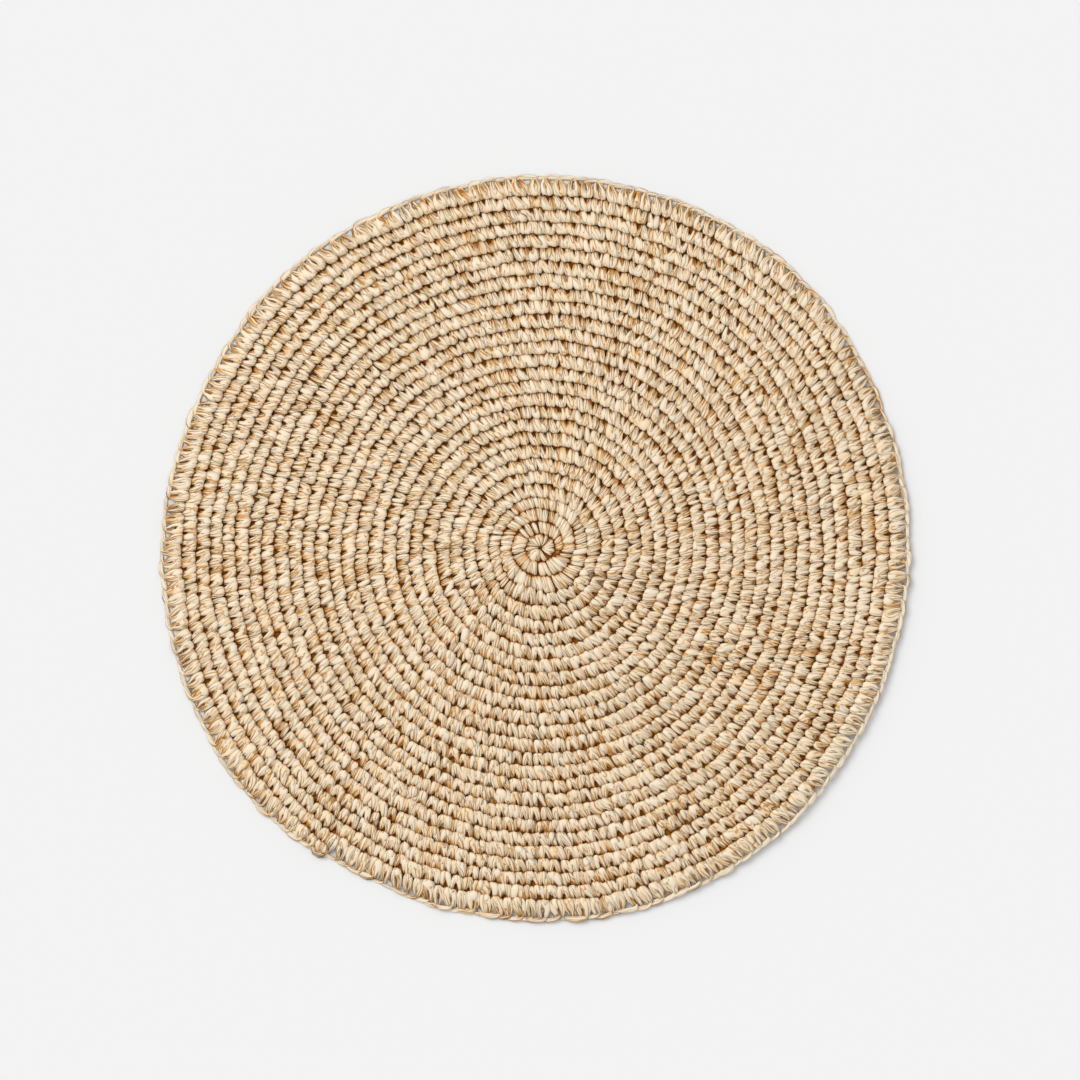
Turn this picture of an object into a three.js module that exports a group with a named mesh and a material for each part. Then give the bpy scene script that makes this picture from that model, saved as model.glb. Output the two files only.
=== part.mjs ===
// Round placemat, crocheted from raffia in one continuous spiral.
// Millimetres, +Z up. It lies flat: the underside is at z = 0, and the origin is the middle of the footprint.
import * as THREE from "three";

// Driving sizes: the spiral
const ROUNDS = 27; // full rounds, counted at their ridges
const FIRST_RIDGE = 0.8; // radius of the first ridge, in round widths
const END_BEARING = -126; // where the last round ends, in degrees counterclockwise from +X

// Driving sizes: the section. Each round has a groove and a flattened ridge with a higher inner shoulder,
// placed by their distance from the middle of the ridge in round widths.
const SECTION = [
  { part: "groove", offset: -0.5, height: 3.3 },
  { part: "inner shoulder", offset: -0.24, height: 5 },
  { part: "outer shoulder", offset: 0.18, height: 4.7 },
];
const EYE_HEIGHT = 2.8; // the small hollow that the first round is drawn shut around
const CHAIN_HEIGHT = 4.2; // the loops along the edge of the last round
const CHAIN_PLACE = 0.6; // from the last groove (0) to the rim (1)
const RIM_HEIGHT = 3; // the widest part of the edge
const RIM_ROUNDING = 2.2; // the underside stops this far inside the rim

// Driving sizes: the edge. It is as uneven as handwork is. The reach is measured from the start of the
// spiral, before the growth along the last round, at bearings in degrees counterclockwise from +X.
const EDGE = [
  { bearing: 0, reach: 185.4 },
  { bearing: 22.5, reach: 186.2 },
  { bearing: 45, reach: 188.5 },
  { bearing: 67.5, reach: 187.2 },
  { bearing: 90, reach: 186.1 },
  { bearing: 112.5, reach: 185.8 },
  { bearing: 135, reach: 186.7 },
  { bearing: 157.5, reach: 186.1 },
  { bearing: 180, reach: 189.0 },
  { bearing: 202.5, reach: 189.5 },
  { bearing: 225, reach: 190.2 },
  { bearing: 247.5, reach: 189.3 },
  { bearing: 270, reach: 189.1 },
  { bearing: 292.5, reach: 189.2 },
  { bearing: 315, reach: 188.0 },
  { bearing: 337.5, reach: 186.1 },
];
const LAST_ROUND_GROWTH = 5; // added to the reach by the time the last round ends
const START_ROUNDS = 28.0; // reach in round widths where the last round begins
const END_ROUNDS = 28.75; // and where it ends

const COLUMNS = 64; // steps around the mat

// The reach of the edge at a bearing, before the growth: a smooth closed curve through the table.
const edgeCurve = new THREE.CubicInterpolant(
  [...EDGE.map((row) => row.bearing), 360],
  [...EDGE.map((row) => row.reach), EDGE[0].reach],
  1,
);
edgeCurve.settings = { endingStart: THREE.WrapAroundEnding, endingEnd: THREE.WrapAroundEnding };

function smoothReach(bearing) {
  return edgeCurve.evaluate(THREE.MathUtils.euclideanModulo(bearing, 360))[0];
}

// One column of the top face, from the start of the spiral out to the rim. A station is a distance
// from the start in round widths, so that it goes on growing from one turn to the next.
function column(step) {
  const turned = step / COLUMNS;
  const bearing = END_BEARING + 360 * turned;
  const reach = smoothReach(bearing) + LAST_ROUND_GROWTH * turned;
  const reachInRounds = THREE.MathUtils.lerp(START_ROUNDS, END_ROUNDS, turned);
  const roundWidth = reach / reachInRounds;

  const stations = [];
  for (let round = 0; round < ROUNDS; round += 1) {
    const ridge = round + turned + FIRST_RIDGE;
    SECTION.forEach(({ offset, height }) => stations.push({ at: ridge + offset, height }));
  }
  const [groove] = SECTION;
  const lastGroove = ROUNDS + turned + FIRST_RIDGE + groove.offset;
  const chain = THREE.MathUtils.lerp(lastGroove, reachInRounds, CHAIN_PLACE);
  stations.push({ at: lastGroove, height: groove.height });
  stations.push({ at: chain, height: CHAIN_HEIGHT });
  stations.push({ at: reachInRounds, height: RIM_HEIGHT });

  const angle = THREE.MathUtils.degToRad(bearing);
  const direction = new THREE.Vector3(Math.cos(angle), Math.sin(angle), 0);
  const points = stations.map(({ at, height }) => {
    return { at, position: direction.clone().multiplyScalar(at * roundWidth).setZ(height) };
  });
  const foot = direction.clone().multiplyScalar(reach - RIM_ROUNDING);
  return { points, foot };
}

// The mat's closed surface: the ridged top between neighbouring columns, the edge and the flat underside.
function matGeometry() {
  const corners = [];
  const faces = [];
  const addCorner = (position) => corners.push(position) - 1;

  const eye = addCorner(new THREE.Vector3(0, 0, EYE_HEIGHT));
  const underEye = addCorner(new THREE.Vector3(0, 0, 0));
  const columns = [];
  for (let step = 0; step < COLUMNS; step += 1) {
    const { points, foot } = column(step);
    const top = points.map(({ at, position }) => ({ at, corner: addCorner(position) }));
    columns.push({ top, foot: addCorner(foot) });
  }

  columns.forEach((here, step) => {
    const next = columns[(step + 1) % COLUMNS];
    zip(eye, here.top, next.top, faces);
    const rim = here.top.at(-1).corner;
    const nextRim = next.top.at(-1).corner;
    faces.push([rim, here.foot, next.foot]);
    faces.push([rim, next.foot, nextRim]);
    faces.push([underEye, next.foot, here.foot]);
  });

  centre(corners);
  const geometry = new THREE.BufferGeometry().setFromPoints(corners);
  geometry.setIndex(faces.flat());
  geometry.computeVertexNormals();
  return geometry;
}

// Triangles between two columns, always taking the nearer station next. After a whole turn a ridge meets
// the one that is a round further out, so there the next column has more stations near the start.
function zip(eye, here, next, faces) {
  let left = eye;
  let right = eye;
  let i = 0;
  let j = 0;
  while (i < here.length || j < next.length) {
    const takeHere = j === next.length || (i < here.length && here[i].at < next[j].at);
    const taken = takeHere ? here[i].corner : next[j].corner;
    if (left !== right) {
      faces.push([left, taken, right]);
    }
    if (takeHere) {
      left = taken;
      i += 1;
    } else {
      right = taken;
      j += 1;
    }
  }
}

// Moves the origin to the middle of the footprint.
function centre(corners) {
  const footprint = new THREE.Box3().setFromPoints(corners).getCenter(new THREE.Vector3()).setZ(0);
  corners.forEach((corner) => corner.sub(footprint));
}

const raffia = new THREE.MeshStandardMaterial({ color: 0xd9bf92, roughness: 0.75, metalness: 0 });

const placemat = new THREE.Group();
const mat = new THREE.Mesh(matGeometry(), raffia);
mat.name = "mat";
placemat.add(mat);

export default placemat;
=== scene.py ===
"""The looks of a round placemat crocheted from raffia: its stitches, edge loops, finish and stage.

Lengths are in metres. Places on the mat are given as a maker counts them: turns of the spiral from its
start, stitch widths to the side and rounds outwards from the groove that a stitch starts in.
"""

import math

import bmesh
import bpy
import numpy as np
from bpy.props import FloatProperty, FloatVectorProperty, IntProperty, PointerProperty
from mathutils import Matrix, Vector


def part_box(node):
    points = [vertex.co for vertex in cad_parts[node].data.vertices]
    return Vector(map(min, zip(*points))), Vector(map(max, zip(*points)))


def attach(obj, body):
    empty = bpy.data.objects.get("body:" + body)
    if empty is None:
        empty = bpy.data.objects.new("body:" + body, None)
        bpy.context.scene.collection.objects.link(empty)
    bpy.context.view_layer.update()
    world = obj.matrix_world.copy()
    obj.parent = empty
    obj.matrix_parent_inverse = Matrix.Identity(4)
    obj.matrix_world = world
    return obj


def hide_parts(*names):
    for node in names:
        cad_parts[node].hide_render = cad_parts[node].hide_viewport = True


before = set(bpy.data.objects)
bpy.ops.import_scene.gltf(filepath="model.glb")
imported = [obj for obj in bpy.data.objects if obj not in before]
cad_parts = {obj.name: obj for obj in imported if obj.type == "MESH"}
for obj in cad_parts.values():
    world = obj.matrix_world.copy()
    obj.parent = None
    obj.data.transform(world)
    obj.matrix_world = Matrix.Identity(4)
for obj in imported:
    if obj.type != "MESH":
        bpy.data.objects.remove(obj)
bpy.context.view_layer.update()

bl_info = {
    "name": "Crocheted raffia placemat",
    "version": (1, 0, 0),
    "blender": (4, 5, 0),
    "location": "View3D > Sidebar > Placemat",
    "description": "Dresses a round placemat in single crochet stitches of raffia",
    "category": "Object",
}

MM = 0.001
NEARLY_NONE = 1e-4  # in turns: differences smaller than this are none
LEAST_LENGTH = 1e-12  # keeps a vector of no length from being divided by 0

# The solid that the stitches stand for, and the heights that its eye and rim are known by
MAT_NODE = "mat"
EYE_HEIGHT = 2.8 * MM
RIM_HEIGHT = 3.0 * MM
HEIGHT_MATCH = 0.02 * MM

# The spiral, as in the solid
END_BEARING = -126.0  # degrees counterclockwise from +X
TURNS = 27.0
EDGE_ROUNDS = (28.0, 28.75)  # the edge's reach in rounds where the last round begins and ends

# Where the grooves between the rounds lie: turns of the spiral, and rounds from its start. The first
# ring is closed to a circle, the spiral sets off from it, and further out each groove follows the
# turns with the small drift of the second table (share of a turn, rounds).
RING_END = 0.21
RING_HOLE = 0.15  # rounds from the start to the inner ends of the ring's stitches
RING_EDGE = 1.12  # and to their outer ends
FIRST_GROOVES = (
    (RING_END, RING_EDGE),
    (1.21, 1.15),
    (1.35, 1.78),
    (1.6, 2.14),
    (1.85, 2.15),
    (2.1, 2.2),
    (2.21, 2.35),
    (2.35, 2.72),
    (2.6, 3.1),
    (2.85, 3.13),
    (3.1, 3.38),
)
DRIFT = (
    (0.0, 0.40),
    (0.04, 0.42),
    (0.35, 0.42),
    (0.64, 0.41),
    (0.72, 0.29),
    (0.83, 0.27),
    (0.90, 0.21),
    (0.95, 0.24),
)

# Waves by which the rounds stray from an even spiral: length, bearing in degrees and phase
WAVES = (
    (0.041, 17, 0.3),
    (0.029, 74, 1.9),
    (0.063, 128, 4.1),
    (0.022, 153, 2.6),
    (0.09, 50, 0.9),
)
WAVE_TURN = 2.4  # how much the shift of each wave is turned from that of the one before, in radians

# Places in a strand's table: rounds outwards, stitch widths to the side, height, half width in stitch
# widths, half thickness. Heights and thicknesses are in millimetres.
# First one leg of a stitch, which the other mirrors
LEG = (
    (0.02, 0.1, 1.6, 0.16, 0.45),
    (-0.08, 0.12, 3.4, 0.22, 0.5),
    (-0.04, 0.16, 3.95, 0.29, 0.58),
    (0.1, 0.21, 4.15, 0.33, 0.66),
    (0.3, 0.265, 3.95, 0.325, 0.72),
    (0.54, 0.31, 3.4, 0.28, 0.7),
    (0.76, 0.325, 2.75, 0.235, 0.66),
    (0.97, 0.31, 1.8, 0.18, 0.58),
)
# The hood over the place where the two legs meet
CROWN = (
    (-0.07, 0.0, 2.0, 0.2, 0.45),
    (-0.13, 0.0, 3.6, 0.24, 0.48),
    (-0.08, 0.0, 4.15, 0.29, 0.58),
    (0.05, 0.0, 4.4, 0.33, 0.68),
    (0.22, 0.01, 4.2, 0.32, 0.7),
    (0.38, 0.02, 3.6, 0.22, 0.62),
    (0.5, 0.03, 2.8, 0.1, 0.48),
)
# A leg near the middle of the mat, where the stitches have no hood
MIDDLE_LEG = (
    (-0.03, 0.2, 1.5, 0.2, 0.55),
    (-0.02, 0.23, 2.9, 0.25, 0.62),
    (0.1, 0.25, 3.7, 0.28, 0.7),
    (0.36, 0.25, 4.05, 0.29, 0.8),
    (0.62, 0.25, 3.85, 0.28, 0.8),
    (0.82, 0.26, 3.1, 0.24, 0.7),
    (0.93, 0.26, 1.7, 0.18, 0.55),
)
# A leg of the last round, which comes down towards the table
EDGE_LEG = (
    (0.02, 0.1, 1.6, 0.16, 0.45),
    (-0.08, 0.12, 3.4, 0.22, 0.5),
    (-0.02, 0.17, 4.0, 0.3, 0.6),
    (0.2, 0.24, 4.1, 0.32, 0.7),
    (0.46, 0.29, 3.6, 0.27, 0.72),
    (0.73, 0.28, 2.7, 0.245, 0.62),
    (0.98, 0.2, 1.8, 0.21, 0.52),
    (1.28, 0.14, 0.8, 0.17, 0.4),
)
# The bar across the back of a stitch
BACK_BAR = (
    (0.44, -0.57, 1.1, 0.34, 0.5),
    (0.5, -0.2, 0.75, 0.5, 0.7),
    (0.5, 0.2, 0.75, 0.5, 0.7),
    (0.44, 0.57, 1.1, 0.34, 0.5),
)
# The loop outside a stitch of the last round
EDGE_LOOP = (
    (1.38, -1.25, 0.32, 0.08, 0.25),
    (1.43, -0.9, 0.4, 0.15, 0.31),
    (1.45, -0.5, 0.52, 0.18, 0.38),
    (1.43, -0.15, 0.62, 0.18, 0.42),
    (1.37, 0.1, 0.85, 0.16, 0.45),
    (1.26, 0.22, 1.0, 0.12, 0.4),
    (1.12, 0.27, 0.9, 0.08, 0.35),
)

# How high the edge stands off the table: bearings in degrees and heights in millimetres, and over how
# many rounds it comes down
EDGE_RISE = (
    (-150, 0.0),
    (-105, 0.7),
    (-75, 1.6),
    (-45, 3.3),
    (-15, 3.3),
    (10, 1.9),
    (40, 0.0),
)
RISE_ROUNDS = 2.6

RING_STITCHES = 8  # stitches of the first ring
CROWNED_FROM = 3.0  # in turns: nearer the middle the two legs of a stitch stand bare, side by side
CROWN_REACH = (0.16, 0.75, 1.2)  # how far hoods reach: their spread, the shortest and the longest
LOWEST_STITCH = 0.35  # in rounds: where the spiral sets off, stitches lower than this are left out
LOOP_REACH = 1.6  # rounds from the groove to the outside of the edge loops
END_TAPER = (0.025, 0.6)  # over that share of a turn the last stitches shrink to that share of their reach
FULL_HEIGHT = 0.9  # in rounds: in shorter stitches the strands are lower and thinner
FULL_WIDTH = 0.92  # in round widths: in narrower stitches they are thinner
SMALLEST = 0.45  # the least share of their height and thickness that they keep there
LEAN_CENTRE = 0.35  # rounds from the groove to the place that a leaning stitch turns about
LEAST_RADIUS = 0.1  # in rounds: no strand comes nearer the start than this
FLOOR_GAP = 0.02 * MM  # strands are flattened against the table at this height

# How much stitches differ, as standard deviations at ordinary unevenness
STITCH_SEED = 27
STITCH_WIDTH = 0.18  # the largest change, as a share of the width
STITCH_LEAN = 0.1
STITCH_LIFT = 0.16  # millimetres
STITCH_SLIP = 0.035  # rounds outwards
STITCH_FULLNESS = 0.08

# And how much the strands of a stitch stray from their tables
STRAND_LIFT = 0.14  # millimetres
STRAND_FULLNESS = 0.07
STRAND_SLIP = 0.015
STRAND_WAVE = 0.012  # rounds outwards, from ring to ring
STRAND_ASIDE = 0.025
STRAND_LEAN = 0.05
STRAND_TONE = 0.8
STRAND_TWIST = 0.7  # as a share of the twist
STRAND_START = 0.4  # the largest turn that a strand begins with, in radians
STRAND_PLACES = 100  # strands take their fibres from places spread over this much of the noise
CREASE_LIMITS = (-1.8, 1.3)  # how much of the creasing draws a corner in or lets it stand out at most
DEEPEST_CREASE = 0.3  # a corner drawn in by this share gets the full painted shade of a crease

# Where shade is painted into the strands' colour. Heights are in millimetres: they are palest at the top,
# with more painted shade further down, and less again near the table, where light comes in under the edge.
SHADE_TOP = 4.8
SHADE_SPAN = 3.8
LIT_UNDER = 1.7
# Painted shade on a strand's underside, and where it comes up out of the round before
AWAY_SHADE = (0.26, 0.24)  # on a strand's underside, by how far it faces down and by the square of that
ROOT_SHADE = 0.5  # where a strand that runs outwards comes up out of the round before
ROOT_RINGS = 2.6  # and over how many of its rings that fades
LAST_SHADE = 0.65  # the last round lies open to the light, so it is less brown
BACK_SHADE = 0.25  # and so are the bars, which are the outside of the back

# The fibres along a strand, from its UV map
SEAM = 0.25  # in turns: so far before its side the map meets itself, which is underneath
STREAK_ALONG = 0.9  # how fast streaks change along the strand
STREAK_DETAIL = 1.0
STREAK_HEIGHT = 0.4  # how much of the relief they raise
CREASE_ALONG = 1.1
CREASE_DETAIL = 0.0
CREASE_HEIGHT = 0.6  # how much of the relief they lower
CREASE_OPENING = (0.35, 0.85, 0.5, 1.0)  # from and to which place along it, and how open there

# The finish
BASE_BROWN = 0.03
SHINE = (0.1, 0.5, 0.15, 0.0)  # from and to which amount of painted shade, and the specular level there
RELIEF = 0.8 * MM  # how high the fibres stand out
FLOOR_ROUGHNESS = 0.9
FLOOR_SHINE = 0.2


class PlacematSizes(bpy.types.PropertyGroup):
    """Sizes of the stitches."""

    stitches_per_round: FloatProperty(
        name="Stitches per round",
        description="Stitches that each round adds near the middle",
        default=7.55,
        min=4,
        max=12,
    )
    stitch_easing: FloatProperty(
        name="Easing",
        description="How much fewer are added further out, for each round squared",
        default=0.0235,
        min=0,
        max=0.1,
    )
    lean: FloatProperty(
        name="Lean",
        description="How far a stitch leans along the round, in stitch widths over one round",
        default=0.21,
    )
    unevenness: FloatProperty(
        name="Unevenness",
        description="How much the stitches differ, 1 being ordinary handwork",
        default=1.0,
        min=0,
        max=3,
    )
    wander: FloatProperty(
        name="Wander",
        description="How far the rounds stray from an even spiral",
        default=0.5 * MM,
        unit="LENGTH",
    )
    strand_sides: IntProperty(
        name="Strand sides", description="Sides of a leg's section", default=7, min=5, max=16
    )
    creasing: FloatProperty(
        name="Creasing",
        description="Depth of the creases along the strands, as a share of their thickness",
        subtype="FACTOR",
        default=0.26,
        min=0,
        max=0.4,
    )
    twist: FloatProperty(
        name="Twist",
        description="How much a strand turns on its way",
        subtype="ANGLE",
        default=math.radians(35),
    )


class PlacematFinish(bpy.types.PropertyGroup):
    """Colours of the raffia, and of the shade painted on it."""

    light: FloatVectorProperty(
        name="Light strand",
        description="Colour of the palest fibres",
        subtype="COLOR",
        default=(0.765, 0.65, 0.49),
    )
    mid: FloatVectorProperty(
        name="Middling strand",
        description="Colour of most fibres",
        subtype="COLOR",
        default=(0.77, 0.6, 0.4),
    )
    # Painted shade, in the creases and part of the way down between the stitches
    shade_colour: FloatVectorProperty(
        name="Creases",
        description="Colour in the creases",
        subtype="COLOR",
        default=(0.55, 0.285, 0.08),
    )
    # Painted shade, far down in the gaps between the stitches and on the inner strands
    gap_shade_colour: FloatVectorProperty(
        name="Gaps",
        description="Colour in the gaps between stitches",
        subtype="COLOR",
        default=(0.36, 0.115, 0.014),
    )
    roughness: FloatProperty(
        name="Roughness",
        description="Roughness of the strands",
        subtype="FACTOR",
        default=0.55,
        min=0,
        max=1,
    )


class PlacematStage(bpy.types.PropertyGroup):
    """Floor, light and camera."""

    floor_size: FloatProperty(
        name="Floor", description="Width of the floor", default=8.0, unit="LENGTH"
    )
    floor_tone: FloatProperty(
        name="Floor tone", description="How pale the floor is", subtype="FACTOR", default=0.728
    )
    light_bearing: FloatProperty(
        name="Light bearing",
        description="Where the light comes from, counterclockwise from +X",
        subtype="ANGLE",
        default=math.radians(135),
    )
    light_elevation: FloatProperty(
        name="Light elevation",
        description="How high the light stands",
        subtype="ANGLE",
        default=math.radians(48),
    )
    light_softness: FloatProperty(
        name="Light softness",
        description="How wide the light looks from the mat",
        subtype="ANGLE",
        default=math.radians(36),
    )
    light_strength: FloatProperty(
        name="Light strength", description="Strength of the light", default=1.65
    )
    fill_strength: FloatProperty(
        name="Fill strength", description="Strength of the light from all round", default=0.838
    )
    camera_height: FloatProperty(
        name="Camera height",
        description="Height of the camera over the mat",
        default=2.0,
        unit="LENGTH",
    )
    mat_in_picture: FloatProperty(
        name="Mat in the picture",
        description="Width of the mat in the picture",
        subtype="PIXEL",
        default=749,
    )
    mat_middle: FloatVectorProperty(
        name="Middle of the mat",
        description="Where the middle of the mat is in the picture, in pixels",
        size=2,
        default=(534.6, 548.2),
    )
    picture_side: FloatProperty(
        name="Picture side",
        description="Width and height of the picture",
        subtype="PIXEL",
        default=1080,
    )


class Spiral:
    """Where things are on the mat, worked out from the packed solid."""

    def __init__(self, wander):
        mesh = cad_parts[MAT_NODE].data
        places = np.zeros(len(mesh.vertices) * 3)
        mesh.vertices.foreach_get("co", places)
        places = places.reshape(-1, 3)
        at_eye = np.abs(places[:, 2] - EYE_HEIGHT) < HEIGHT_MATCH
        at_rim = np.abs(places[:, 2] - RIM_HEIGHT) < HEIGHT_MATCH
        self.start = places[at_eye].mean(0)
        rim = places[at_rim] - self.start
        turned = (np.degrees(np.arctan2(rim[:, 1], rim[:, 0])) - END_BEARING) % 360 / 360
        turned[turned > 1 - NEARLY_NONE] = 0
        order = np.argsort(turned)
        reach = np.hypot(rim[:, 0], rim[:, 1])
        rounds = EDGE_ROUNDS[0] + (EDGE_ROUNDS[1] - EDGE_ROUNDS[0]) * turned
        self.turned = turned[order]
        self.widths = (reach / rounds)[order]
        self.wander = wander

    def round_width(self, turns):
        """Width of a round at that many turns."""
        return np.interp(turns % 1, self.turned, self.widths, period=1)

    def groove(self, turns):
        """Rounds from the start to the groove that the stitches at that many turns begin in."""
        share, drift = zip(*DRIFT)
        further = turns + np.interp(turns % 1, share, drift, period=1)
        at, rounds = zip(*FIRST_GROOVES)
        near = np.interp(turns, at, rounds)
        return np.where(turns < RING_END, RING_HOLE, np.where(turns < at[-1], near, further))

    def edge_rounds(self, turns):
        """The edge's distance from the start, in rounds, along the last round."""
        along = turns - (TURNS - 1)
        return EDGE_ROUNDS[0] + (EDGE_ROUNDS[1] - EDGE_ROUNDS[0]) * along

    def rise(self, turns, rounds):
        """How far the mat's edge lifts off the table there."""
        at, heights = zip(*EDGE_RISE)
        height = np.interp(END_BEARING + 360 * turns, at, heights, period=360) * MM
        inside = self.edge_rounds(turns % 1 + TURNS - 1) - rounds
        return height * np.clip(1 - inside / RISE_ROUNDS, 0, 1) ** 2

    def stray(self, x, y):
        """The small shift of handwork at a place: smooth waves of several lengths and directions."""
        shift = np.zeros((2,) + np.shape(x))
        for n, (length, direction, phase) in enumerate(WAVES):
            bearing = math.radians(direction)
            wave = 2 * math.pi / length * (x * math.cos(bearing) + y * math.sin(bearing)) + phase
            shift[0] += np.sin(wave) * math.cos(WAVE_TURN * n)
            shift[1] += np.cos(wave) * math.sin(WAVE_TURN * n + 1)
        return shift * self.wander / 2

    def place(self, turns, rounds, height):
        """World places, bearings and radii of points given by turns, rounds from the start and height."""
        rounds = np.maximum(rounds, LEAST_RADIUS)
        bearing = np.radians(END_BEARING + 360 * turns)
        radius = self.round_width(turns) * rounds
        x = self.start[0] + radius * np.cos(bearing)
        y = self.start[1] + radius * np.sin(bearing)
        shift = self.stray(x, y) - self.stray(*self.start[:2]).reshape((2,) + (1,) * np.ndim(x))
        return np.stack([x + shift[0], y + shift[1], height], -1), bearing, radius


class Stitches:
    """Where each stitch of the spiral stands, and how it differs from its neighbours."""

    def __init__(self, sizes, spiral):
        self.spiral = spiral
        draw = np.random.RandomState(STITCH_SEED)
        uneven = sizes.unevenness
        turns, widths = [], []
        at = RING_END - 1
        while at < TURNS:
            reach = (spiral.groove(at) + spiral.groove(at + 1)) / 2
            around = max(sizes.stitches_per_round * reach - sizes.stitch_easing * reach**2, RING_STITCHES)
            width = (1 + STITCH_WIDTH * uneven * draw.uniform(-1, 1)) / around
            middle = at + width / 2
            tall = spiral.groove(middle + 1) - spiral.groove(middle)
            if tall > LOWEST_STITCH:
                turns.append(middle)
                widths.append(width)
            at += width
        self.turns = np.array(turns)
        self.widths = np.array(widths)
        self.count = len(turns)
        self.in_ring = self.turns < RING_END
        self.lean = sizes.lean + uneven * draw.normal(0, STITCH_LEAN, self.count)
        self.lift = uneven * draw.normal(0, STITCH_LIFT, self.count) * MM
        self.slip = uneven * draw.normal(0, STITCH_SLIP, self.count)
        self.fullness = 1 + uneven * draw.normal(0, STITCH_FULLNESS, self.count)
        self.tone = draw.normal(0, 1, self.count)

    def rounds_at(self, chosen, turns, outwards):
        """Rounds from the start, for points of the chosen stitches that lie that far outwards."""
        ring = self.in_ring[chosen][:, None]
        turns = np.where(ring, np.minimum(turns, RING_END - NEARLY_NONE), np.maximum(turns, RING_END))
        low = self.spiral.groove(turns)
        high = np.where(ring, RING_EDGE, self.spiral.groove(turns + 1))
        return low + outwards * (high - low), high - low


def strand_blank(sides, rings):
    """A closed tube of radius 1 from 0 to 1 along Z, drawn out from a disc ring by ring, with its UV map."""
    bm = bmesh.new()
    bmesh.ops.create_circle(bm, cap_ends=True, radius=1, segments=sides)
    tip = bm.faces[:][0]
    for ring in range(rings - 1):
        drawn = bmesh.ops.extrude_face_region(bm, geom=[tip])["geom"]
        if ring > 0:
            bmesh.ops.delete(bm, geom=[tip], context="FACES_ONLY")
        tip = next(f for f in drawn if isinstance(f, bmesh.types.BMFace))
        bmesh.ops.translate(bm, vec=(0, 0, 1 / (rings - 1)), verts=tip.verts[:])
    bmesh.ops.recalc_face_normals(bm, faces=bm.faces[:])
    layer = bm.loops.layers.uv.new("UVMap")
    for face in bm.faces:
        middle = face.calc_center_median()
        facing = math.atan2(middle.y, middle.x)
        face_across = (facing / (2 * math.pi) + SEAM) % 1.0
        for loop in face.loops:
            x, y, along = loop.vert.co
            turn = (math.atan2(y, x) - facing + math.pi) % (2 * math.pi) - math.pi
            loop[layer].uv = (((facing + turn) / (2 * math.pi) + SEAM) % 1.0, along)
            over_seam = len(face.verts) == 4 and abs(loop[layer].uv.x - face_across) > 0.5
            if over_seam:
                loop[layer].uv.x += 1 if loop[layer].uv.x < 0.5 else -1
    mesh = bpy.data.meshes.new("blank")
    bm.to_mesh(mesh)
    bm.free()
    return mesh


def spread(blank, places, facts, name):
    """One mesh of many copies of a blank. places is copies by points by 3, and facts holds a value for
    each copy and point under the name of its attribute."""
    copies, points, _ = places.shape
    loops = np.zeros(len(blank.loops), np.int32)
    blank.loops.foreach_get("vertex_index", loops)
    starts = np.zeros(len(blank.polygons), np.int32)
    blank.polygons.foreach_get("loop_start", starts)
    map_places = np.zeros(len(blank.loops) * 2, np.float32)
    blank.uv_layers[0].data.foreach_get("uv", map_places)

    mesh = bpy.data.meshes.new(name)
    mesh.vertices.add(copies * points)
    mesh.vertices.foreach_set("co", places.astype(np.float32).ravel())
    steps = np.arange(copies, dtype=np.int32)[:, None]
    mesh.loops.add(copies * len(loops))
    mesh.loops.foreach_set("vertex_index", (loops + steps * points).ravel())
    mesh.polygons.add(copies * len(starts))
    mesh.polygons.foreach_set("loop_start", (starts + steps * len(loops)).ravel())
    mesh.uv_layers.new(name="UVMap")
    mesh.uv_layers[0].data.foreach_set("uv", np.tile(map_places, copies))
    for fact, values in facts.items():
        layer = mesh.attributes.new(fact, "FLOAT", "POINT")
        layer.data.foreach_set("value", values.astype(np.float32).ravel())
    mesh.update(calc_edges=True)
    mesh.shade_smooth()
    return mesh


def unit(v):
    """Vectors drawn to length 1."""
    return v / np.maximum(np.linalg.norm(v, axis=-1, keepdims=True), LEAST_LENGTH)


def along_strand(values):
    """The change of values from ring to ring of each strand."""
    return np.gradient(values, axis=1)


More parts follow.
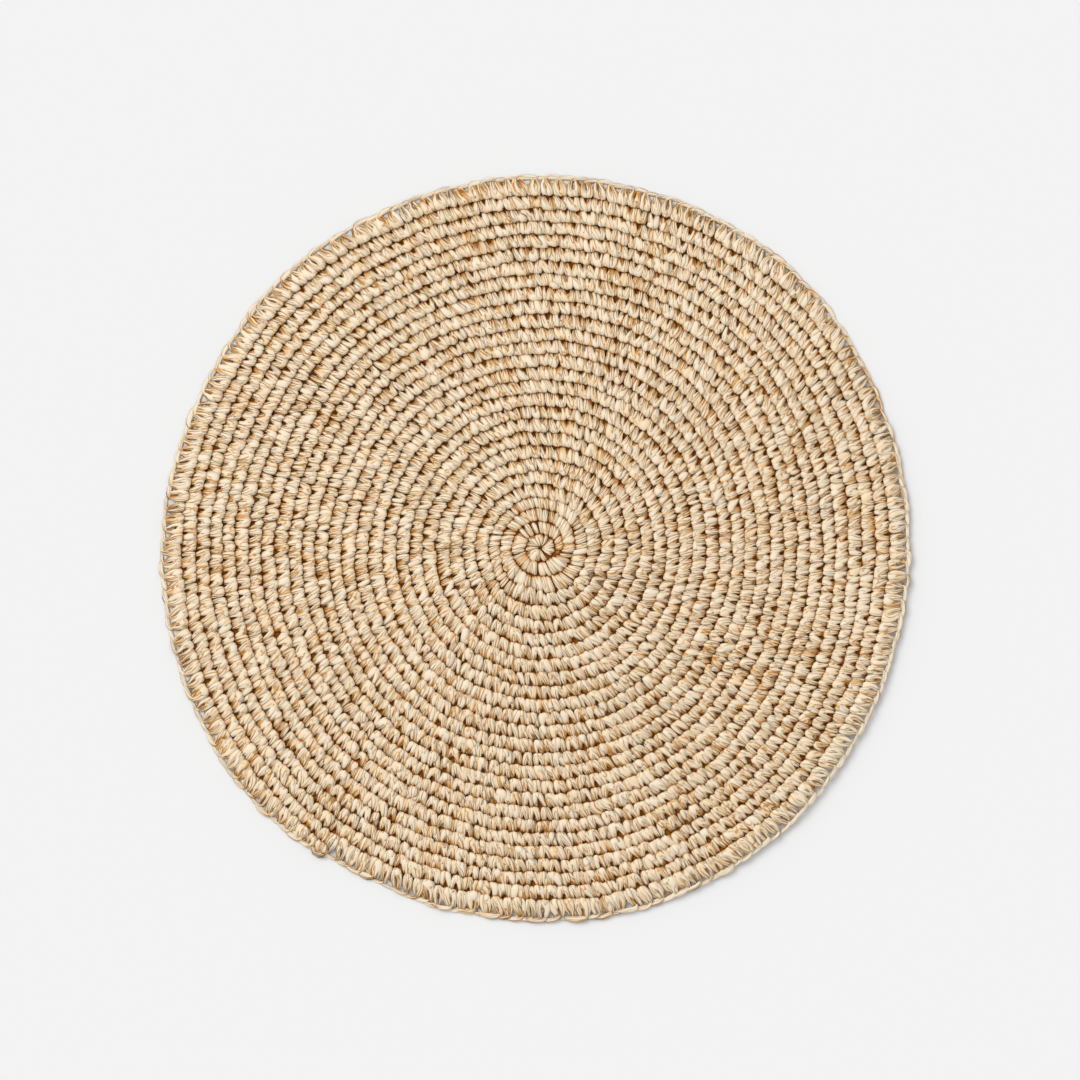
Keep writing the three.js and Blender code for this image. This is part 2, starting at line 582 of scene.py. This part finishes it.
def lay_strands(
    stitches, chosen, table, sizes, sides, seed, side=1, runs_round=False, stretch=1.0, shade_share=1.0
):
    """Lays one strand of each chosen stitch along its table. side mirrors it, runs_round says that it runs
    along the round rather than outwards, stretch draws it out, and the last argument scales the shade
    painted on it low down and below. Returns a blank, the places and the attributes."""
    blank = strand_blank(sides, len(table))
    points = np.zeros(len(blank.vertices) * 3)
    blank.vertices.foreach_get("co", points)
    points = points.reshape(-1, 3)
    along = points[:, 2]
    ring = np.rint(along * (len(table) - 1)).astype(int)
    angle = np.arctan2(points[:, 1], points[:, 0])
    corner = np.rint(angle / (2 * math.pi) * sides).astype(int) % sides

    outwards, aside, height, half_width, half_thick = (np.array(column) for column in zip(*table))
    draw = np.random.RandomState(seed)
    many = len(chosen)

    def vary(by, *shape):
        return sizes.unevenness * draw.normal(0, by, (many,) + (shape or (1,)))

    turns = stitches.turns[chosen][:, None]
    width = stitches.widths[chosen][:, None]
    lean = stitches.lean[chosen][:, None]
    lift = stitches.lift[chosen][:, None] + vary(STRAND_LIFT) * MM
    fullness = stitches.fullness[chosen][:, None] * (1 + vary(STRAND_FULLNESS))

    out = outwards[None] * stretch + stitches.slip[chosen][:, None]
    out = out + vary(STRAND_WAVE, len(table)) + vary(STRAND_SLIP)
    across = side * aside[None] + vary(STRAND_ASIDE)
    if not runs_round:
        across = across + (out - LEAN_CENTRE) * (lean + vary(STRAND_LEAN))
    at = turns + across * width
    rounds, tall = stitches.rounds_at(chosen, at, out)
    low = np.clip(tall / FULL_HEIGHT, SMALLEST, 1)
    z = (height[None] * MM + lift) * low + stitches.spiral.rise(at, rounds)
    middle, bearing, radius = stitches.spiral.place(at, rounds, z)

    heading = unit(along_strand(middle))
    outward = np.stack([np.cos(bearing), np.sin(bearing), np.zeros_like(bearing)], -1)
    onward = np.stack([-np.sin(bearing), np.cos(bearing), np.zeros_like(bearing)], -1)
    flat = -outward if runs_round else onward
    flat = unit(flat - (flat * heading).sum(-1, keepdims=True) * heading)
    up = np.cross(heading, flat)

    stitch_width = 2 * math.pi * radius * width
    room = np.clip(stitch_width / (FULL_WIDTH * stitches.spiral.round_width(at)), SMALLEST, 1.0)
    wide = half_width[None] * stitch_width * fullness
    thick = half_thick[None] * MM * fullness * room * low
    creases = 1 + sizes.creasing * np.clip(draw.normal(0, 1, (many, sides)), *CREASE_LIMITS)
    twist = -sizes.twist * draw.normal(1, STRAND_TWIST, (many, 1))
    turn = angle[None] + draw.uniform(-STRAND_START, STRAND_START, (many, 1)) + along[None] * twist
    shape = creases[:, corner]
    sideways = (np.cos(turn) * shape * wide[:, ring])[..., None] * flat[:, ring]
    through = (np.sin(turn) * shape * thick[:, ring])[..., None] * up[:, ring]
    places = middle[:, ring] + sideways + through
    places[..., 2] = np.maximum(places[..., 2], FLOOR_GAP)

    tone = stitches.tone[chosen][:, None] + draw.normal(0, STRAND_TONE, (many, 1))
    away = 0.5 - 0.5 * np.sin(turn)
    # Painted shade: more of it lower down, on a strand's underside and where it comes up out of the round
    # before, less near the table, where light comes in under the edge
    painted_shade = np.clip((SHADE_TOP * MM - places[..., 2]) / (SHADE_SPAN * MM), 0, 1)
    painted_shade = painted_shade * np.clip(places[..., 2] / (LIT_UNDER * MM), 0, 1)
    painted_shade = painted_shade + AWAY_SHADE[0] * away + AWAY_SHADE[1] * away**2
    if not runs_round:
        painted_shade = painted_shade + ROOT_SHADE * np.clip(1 - ring / ROOT_RINGS, 0, 1)
    # Corners drawn in are given painted shade in the material
    crease = np.clip((1.0 - shape) / DEEPEST_CREASE, 0, 1)
    strand = draw.uniform(0, STRAND_PLACES, (many, 1))
    even = np.ones(places.shape[:2])
    facts = {"tone": tone * even, "painted_shade": painted_shade * shade_share, "crease": crease, "strand": strand * even}
    return blank, places, facts


def join(parts, name):
    """One object of several meshes."""
    objects = []
    for part in parts:
        made = bpy.data.objects.new(name, part)
        bpy.context.scene.collection.objects.link(made)
        objects.append(made)
    bpy.ops.object.select_all(action="DESELECT")
    for made in objects:
        made.select_set(True)
    bpy.context.view_layer.objects.active = objects[0]
    if len(objects) > 1:
        bpy.ops.object.join()
    piece = bpy.context.view_layer.objects.active
    piece.name = name
    piece.data.name = name
    return piece


def finish_piece(piece, material):
    """Gives a piece its material, hangs it on the root body and hides the solid that it stands for."""
    piece.data.materials.clear()
    piece.data.materials.append(material)
    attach(piece, "root")
    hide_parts(MAT_NODE)


def node_group(name, inputs, outputs):
    """An empty shader group with its sockets, each given as name, kind and default."""
    group = bpy.data.node_groups.new(name, "ShaderNodeTree")
    for label, kind, value in inputs:
        socket = group.interface.new_socket(label, in_out="INPUT", socket_type=kind)
        socket.default_value = value
    for label, kind in outputs:
        group.interface.new_socket(label, in_out="OUTPUT", socket_type=kind)
    return group, group.nodes.new("NodeGroupInput"), group.nodes.new("NodeGroupOutput")


def maths(tree, operation, first, second, clamp=False):
    """A Math node between two sockets or numbers."""
    node = tree.nodes.new("ShaderNodeMath")
    node.operation = operation
    node.use_clamp = clamp
    for socket, value in zip(node.inputs, (first, second)):
        if isinstance(value, bpy.types.NodeSocket):
            tree.links.new(value, socket)
        else:
            socket.default_value = value
    return node.outputs[0]


def spread_value(tree, value, low, high, at_low, at_high):
    """Maps low to high of a value onto two others, and holds it there beyond them."""
    node = tree.nodes.new("ShaderNodeMapRange")
    for label, number in zip(("From Min", "From Max", "To Min", "To Max"), (low, high, at_low, at_high)):
        node.inputs[label].default_value = number
    tree.links.new(value, node.inputs["Value"])
    return node.outputs["Result"]


def attribute(tree, name):
    """The value of a piece's own attribute."""
    node = tree.nodes.new("ShaderNodeAttribute")
    node.attribute_name = name
    return node.outputs["Fac"]


def fibre_group():
    """Fibres that run along a strand, from its UV map: fine streaks and creases."""
    name = "raffia_fibres"
    if name in bpy.data.node_groups:
        return bpy.data.node_groups[name]
    group, given, result = node_group(
        name,
        [
            ("Strand", "NodeSocketFloat", 0.0),
            ("Streaks", "NodeSocketFloat", 7.5),
            ("Creases", "NodeSocketFloat", 7.0),
            ("Crease width", "NodeSocketFloat", 0.065),
        ],
        [("Streak", "NodeSocketFloat"), ("Crease", "NodeSocketFloat"), ("Height", "NodeSocketFloat")],
    )
    places = group.nodes.new("ShaderNodeUVMap")
    places.uv_map = "UVMap"
    apart = group.nodes.new("ShaderNodeSeparateXYZ")
    group.links.new(places.outputs["UV"], apart.inputs[0])

    def noise(across, along, detail):
        together = group.nodes.new("ShaderNodeCombineXYZ")
        group.links.new(maths(group, "MULTIPLY", apart.outputs["X"], across), together.inputs["X"])
        group.links.new(maths(group, "MULTIPLY", apart.outputs["Y"], along), together.inputs["Y"])
        group.links.new(given.outputs["Strand"], together.inputs["Z"])
        texture = group.nodes.new("ShaderNodeTexNoise")
        texture.inputs["Scale"].default_value = 1.0
        texture.inputs["Detail"].default_value = detail
        group.links.new(together.outputs[0], texture.inputs["Vector"])
        return texture.outputs["Fac"]

    fine = noise(given.outputs["Streaks"], STREAK_ALONG, STREAK_DETAIL)
    fold = noise(given.outputs["Creases"], CREASE_ALONG, CREASE_DETAIL)

    # A crease runs wherever the second noise crosses its middle value
    off = maths(group, "ABSOLUTE", maths(group, "SUBTRACT", fold, 0.5), 0.0)
    flank = maths(group, "DIVIDE", off, given.outputs["Crease width"], clamp=True)
    opening = spread_value(group, apart.outputs["Y"], *CREASE_OPENING)
    crease = maths(group, "MULTIPLY", maths(group, "SUBTRACT", 1.0, flank), opening)
    raised = maths(group, "MULTIPLY", fine, STREAK_HEIGHT)
    lowered = maths(group, "MULTIPLY", crease, CREASE_HEIGHT)
    height = maths(group, "SUBTRACT", raised, lowered)
    # The creases lower the relief, and the material paints shade into them too
    group.links.new(fine, result.inputs["Streak"])
    group.links.new(crease, result.inputs["Crease"])
    group.links.new(height, result.inputs["Height"])
    return group


def raffia_material(name, look, shade=0.0):
    """Strands of raffia: a pale ribbon with darker fibres, differing from strand to strand, with shade
    painted in the creases, on the undersides and low down between the stitches. shade adds painted shade to
    the whole of it, or takes some away where it is below 0."""
    material = bpy.data.materials.new(name)
    material.use_nodes = True
    tree = material.node_tree
    shader = tree.nodes["Principled BSDF"]
    fibres = tree.nodes.new("ShaderNodeGroup")
    fibres.node_tree = fibre_group()
    tree.links.new(attribute(tree, "strand"), fibres.inputs["Strand"])

    # What makes a strand browner: a value, the range it is read over, and how much it adds at either end.
    # Tone and streaks are the raffia's own colour; the two crease rows and the last three rows are painted
    # shade.
    shares = (
        (attribute(tree, "tone"), -3.0, 3.0, 0.08, -0.06),
        (fibres.outputs["Streak"], 0.36, 0.64, 0.24, -0.20),
        (fibres.outputs["Crease"], 0.0, 1.0, 0.0, 0.65),
        (attribute(tree, "crease"), 0.0, 1.0, 0.0, 0.28),
        (attribute(tree, "painted_shade"), 0.16, 0.56, 0.0, 0.30),
        (attribute(tree, "painted_shade"), 0.50, 0.80, 0.0, 0.33),
        (attribute(tree, "painted_shade"), 0.72, 1.0, 0.0, 0.40),
    )
    total = shade + BASE_BROWN
    for value, low, high, at_low, at_high in shares:
        total = maths(tree, "ADD", total, spread_value(tree, value, low, high, at_low, at_high))
    ramp = tree.nodes.new("ShaderNodeValToRGB")
    # The first two colours are the raffia's own; the last two are painted shade
    steps = ((0.0, look.light), (0.3, look.mid), (0.6, look.shade_colour), (1.0, look.gap_shade_colour))
    while len(ramp.color_ramp.elements) < len(steps):
        ramp.color_ramp.elements.new(0.5)
    for element, (at, colour) in zip(ramp.color_ramp.elements, steps):
        element.position = at
        element.color = (*colour, 1)
    tree.links.new(total, ramp.inputs["Fac"])
    tree.links.new(ramp.outputs["Color"], shader.inputs["Base Color"])

    shader.inputs["Roughness"].default_value = look.roughness
    shine = spread_value(tree, attribute(tree, "painted_shade"), *SHINE)
    tree.links.new(shine, shader.inputs["Specular IOR Level"])
    bump = tree.nodes.new("ShaderNodeBump")
    bump.inputs["Strength"].default_value = 1.0
    bump.inputs["Distance"].default_value = RELIEF
    tree.links.new(fibres.outputs["Height"], bump.inputs["Height"])
    tree.links.new(bump.outputs["Normal"], shader.inputs["Normal"])
    return material


def plain_material(name, tone, roughness):
    """A plain grey, for the floor."""
    material = bpy.data.materials.new(name)
    material.use_nodes = True
    shader = material.node_tree.nodes["Principled BSDF"]
    shader.inputs["Base Color"].default_value = (tone, tone, tone, 1)
    shader.inputs["Roughness"].default_value = roughness
    shader.inputs["Specular IOR Level"].default_value = FLOOR_SHINE
    return material


def edge_stretch(stitches, chosen):
    """How much the last round's stitches are drawn out to reach the edge."""
    turns = stitches.turns[chosen]
    reach = (stitches.spiral.edge_rounds(turns) - stitches.spiral.groove(turns)) / LOOP_REACH
    over, share = END_TAPER
    return (reach * np.interp(TURNS - turns, (0, over), (share, 1)))[:, None]


def all_stitches(scene):
    """The stitches at the sizes set in the scene."""
    return Stitches(scene.placemat_sizes, Spiral(scene.placemat_sizes.wander))


class PLACEMAT_OT_rounds(bpy.types.Operator):
    """Works the rounds of single crochet from the middle outwards"""

    bl_idname = "placemat.rounds"
    bl_label = "Rounds of stitches"

    PARTS = 6
    BAR_SIDES = 5
    SEEDS_APART = 100

    def execute(self, context):
        stitches = all_stitches(context.scene)
        material = raffia_material("raffia_stitches", context.scene.placemat_finish)
        for part, chosen in enumerate(np.array_split(np.arange(stitches.count), self.PARTS)):
            laid = self.lay_part(context.scene.placemat_sizes, stitches, chosen, self.SEEDS_APART * part)
            meshes = [spread(*strands, "strands") for strands in laid]
            finish_piece(join(meshes, f"rounds_{part + 1}"), material)
        return {"FINISHED"}

    def lay_part(self, sizes, stitches, chosen, seed):
        """Lays hoods, bars on the back and pairs of legs for the chosen stitches."""
        sides = sizes.strand_sides
        crowned = chosen[stitches.turns[chosen] > CROWNED_FROM]
        middle = chosen[stitches.turns[chosen] <= CROWNED_FROM]
        last = chosen[stitches.turns[chosen] > TURNS - 1]
        vary_by, shortest, longest = CROWN_REACH
        reach = np.random.RandomState(seed).normal(1, vary_by, (len(crowned), 1))
        reach = reach.clip(shortest, longest)
        hoods = lay_strands(stitches, crowned, CROWN, sizes, sides, seed, stretch=reach)
        bars = lay_strands(
            stitches, chosen, BACK_BAR, sizes, self.BAR_SIDES, seed + 1, runs_round=True, shade_share=BACK_SHADE
        )
        laid = [hoods, bars]
        legs = (
            (middle, MIDDLE_LEG, 1.0, 1.0),
            (crowned[: len(crowned) - len(last)], LEG, 1.0, 1.0),
            (last, EDGE_LEG, edge_stretch(stitches, last), LAST_SHADE),
        )
        for those, table, stretch, shade_share in legs:
            for side in (1, -1) if len(those) else ():
                leg_seed = seed + 3 + side
                leg = lay_strands(stitches, those, table, sizes, sides, leg_seed, side, False, stretch, shade_share)
                laid.append(leg)
        return laid


class PLACEMAT_OT_edge(bpy.types.Operator):
    """Lays the loops along the edge of the last round"""

    bl_idname = "placemat.edge"
    bl_label = "Edge loops"

    SIDES = 8
    SEED = 901
    SHADE = -0.6  # the loops lie open to the light, so they are paler

    def execute(self, context):
        sizes = context.scene.placemat_sizes
        stitches = all_stitches(context.scene)
        chosen = np.flatnonzero(stitches.turns > TURNS - 1)
        stretch = edge_stretch(stitches, chosen)
        material = raffia_material("raffia_edge", context.scene.placemat_finish, self.SHADE)
        laid = lay_strands(
            stitches, chosen, EDGE_LOOP, sizes, self.SIDES, self.SEED, runs_round=True, stretch=stretch
        )
        finish_piece(join([spread(*laid, "loops")], "edge_loops"), material)
        return {"FINISHED"}


class PLACEMAT_OT_inner(bpy.types.Operator):
    """Fills the rounds with their inner strands, which lie packed between face and back"""

    bl_idname = "placemat.inner"
    bl_label = "Inner strands"

    LOW = 0.9 * MM  # height of their underside
    HIGH = 1.5 * MM  # and of their top
    STEPS = 96  # around the mat
    RINGS = 12  # from the rim to the middle
    REACH = 0.98  # share of the way to the middle that the rings go
    EDGE = 1.0  # rounds inside the rim
    FIBRE_WIDTH = 6 * MM
    SHADE = 0.2  # they show only in the gaps, so more shade is painted on them
    SHADE_BELOW = 0.45  # how much shade is painted on them underneath, where they show between the bars of the back

    def execute(self, context):
        spiral = Spiral(context.scene.placemat_sizes.wander)
        bm = bmesh.new()
        bmesh.ops.create_circle(bm, cap_ends=True, radius=1, segments=self.STEPS)
        rim = bm.faces[:][0]
        step = self.REACH / (self.RINGS - 1)
        for _ in range(self.RINGS - 1):
            bmesh.ops.inset_region(bm, faces=[rim], thickness=step, use_even_offset=True)
        bmesh.ops.poke(bm, faces=[rim])
        for vert in bm.verts:
            share = min(vert.co.xy.length, 1)
            turns = (math.degrees(math.atan2(vert.co.y, vert.co.x)) - END_BEARING) % 360 / 360
            reach = spiral.edge_rounds(turns + TURNS - 1) - self.EDGE
            place = spiral.place(np.array(turns), np.array(reach * share), np.array(self.HIGH))[0]
            vert.co = Vector(place.tolist())
        shell = bmesh.ops.extrude_face_region(bm, geom=bm.faces[:])["geom"]
        lower = [v for v in shell if isinstance(v, bmesh.types.BMVert)]
        bmesh.ops.translate(bm, vec=(0, 0, self.LOW - self.HIGH), verts=lower)
        bmesh.ops.recalc_face_normals(bm, faces=bm.faces[:])
        layer = bm.loops.layers.uv.new("UVMap")
        for face in bm.faces:
            for loop in face.loops:
                loop[layer].uv = loop.vert.co.xy / self.FIBRE_WIDTH
        mesh = bpy.data.meshes.new("inner_strands")
        bm.to_mesh(mesh)
        bm.free()
        # Their top, seen only through the gaps, gets the full painted shade
        on_top = np.array([vert.co.z > (self.LOW + self.HIGH) / 2 for vert in mesh.vertices])
        painted_shade = np.where(on_top, 1.0, self.SHADE_BELOW)
        for fact, value in (("tone", 0.0), ("painted_shade", painted_shade), ("crease", 0.0), ("strand", 0.0)):
            layer = mesh.attributes.new(fact, "FLOAT", "POINT")
            layer.data.foreach_set("value", np.full(len(mesh.vertices), value, np.float32))
        piece = join([mesh], "inner_strands")
        finish_piece(piece, raffia_material("raffia_inner", context.scene.placemat_finish, self.SHADE))
        return {"FINISHED"}


class PLACEMAT_OT_stage(bpy.types.Operator):
    """Sets the floor, the light and the camera"""

    bl_idname = "placemat.stage"
    bl_label = "Stage"

    def execute(self, context):
        scene = context.scene
        stage = scene.placemat_stage
        bm = bmesh.new()
        bmesh.ops.create_grid(bm, x_segments=1, y_segments=1, size=stage.floor_size / 2)
        mesh = bpy.data.meshes.new("floor")
        bm.to_mesh(mesh)
        bm.free()
        floor = bpy.data.objects.new("floor", mesh)
        scene.collection.objects.link(floor)
        mesh.materials.append(plain_material("floor", stage.floor_tone, FLOOR_ROUGHNESS))

        world = bpy.data.worlds.new("studio")
        world.use_nodes = True
        sky = world.node_tree.nodes["Background"]
        sky.inputs["Color"].default_value = (1, 1, 1, 1)
        sky.inputs["Strength"].default_value = stage.fill_strength
        scene.world = world

        lamp = bpy.data.lights.new("soft_light", "SUN")
        lamp.energy = stage.light_strength
        lamp.angle = stage.light_softness
        light = bpy.data.objects.new("soft_light", lamp)
        scene.collection.objects.link(light)
        level = math.cos(stage.light_elevation)
        towards = Vector(
            (
                level * math.cos(stage.light_bearing),
                level * math.sin(stage.light_bearing),
                math.sin(stage.light_elevation),
            )
        )
        light.rotation_mode = "QUATERNION"
        light.rotation_quaternion = towards.to_track_quat("Z", "Y")
        light.location = towards

        low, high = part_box(MAT_NODE)
        pixel = (high.x - low.x) / stage.mat_in_picture
        camera_data = bpy.data.cameras.new("camera")
        camera = bpy.data.objects.new("camera", camera_data)
        scene.collection.objects.link(camera)
        half = stage.picture_side / 2
        camera.location = (
            (half - stage.mat_middle[0]) * pixel,
            (stage.mat_middle[1] - half) * pixel,
            stage.camera_height,
        )
        camera_data.lens = camera_data.sensor_width * stage.camera_height / (stage.picture_side * pixel)
        scene.camera = camera
        scene.view_settings.view_transform = "Standard"
        scene.view_settings.look = "None"
        return {"FINISHED"}


class PLACEMAT_PT_panel(bpy.types.Panel):
    """Shows the settings and the steps that make the placemat"""

    bl_idname = "PLACEMAT_PT_panel"
    bl_label = "Placemat"
    bl_space_type = "VIEW_3D"
    bl_region_type = "UI"
    bl_category = "Placemat"

    def draw(self, context):
        for settings in SETTINGS:
            box = self.layout.box()
            box.label(text=settings.__doc__)
            for name in settings.__annotations__:
                box.prop(getattr(context.scene, SETTINGS[settings]), name)
        for operator in OPERATORS:
            self.layout.operator(operator.bl_idname)


SETTINGS = {
    PlacematSizes: "placemat_sizes",
    PlacematFinish: "placemat_finish",
    PlacematStage: "placemat_stage",
}
OPERATORS = (PLACEMAT_OT_stage, PLACEMAT_OT_rounds, PLACEMAT_OT_edge, PLACEMAT_OT_inner)


def register():
    for settings, name in SETTINGS.items():
        bpy.utils.register_class(settings)
        setattr(bpy.types.Scene, name, PointerProperty(type=settings))
    for made in (*OPERATORS, PLACEMAT_PT_panel):
        bpy.utils.register_class(made)


def unregister():
    for made in reversed((*OPERATORS, PLACEMAT_PT_panel)):
        bpy.utils.unregister_class(made)
    for settings, name in reversed(SETTINGS.items()):
        delattr(bpy.types.Scene, name)
        bpy.utils.unregister_class(settings)


def main():
    """Makes every piece and the stage."""
    register()
    bpy.ops.placemat.stage()
    bpy.ops.placemat.rounds()
    bpy.ops.placemat.edge()
    bpy.ops.placemat.inner()


if __name__ == "__main__":
    main()
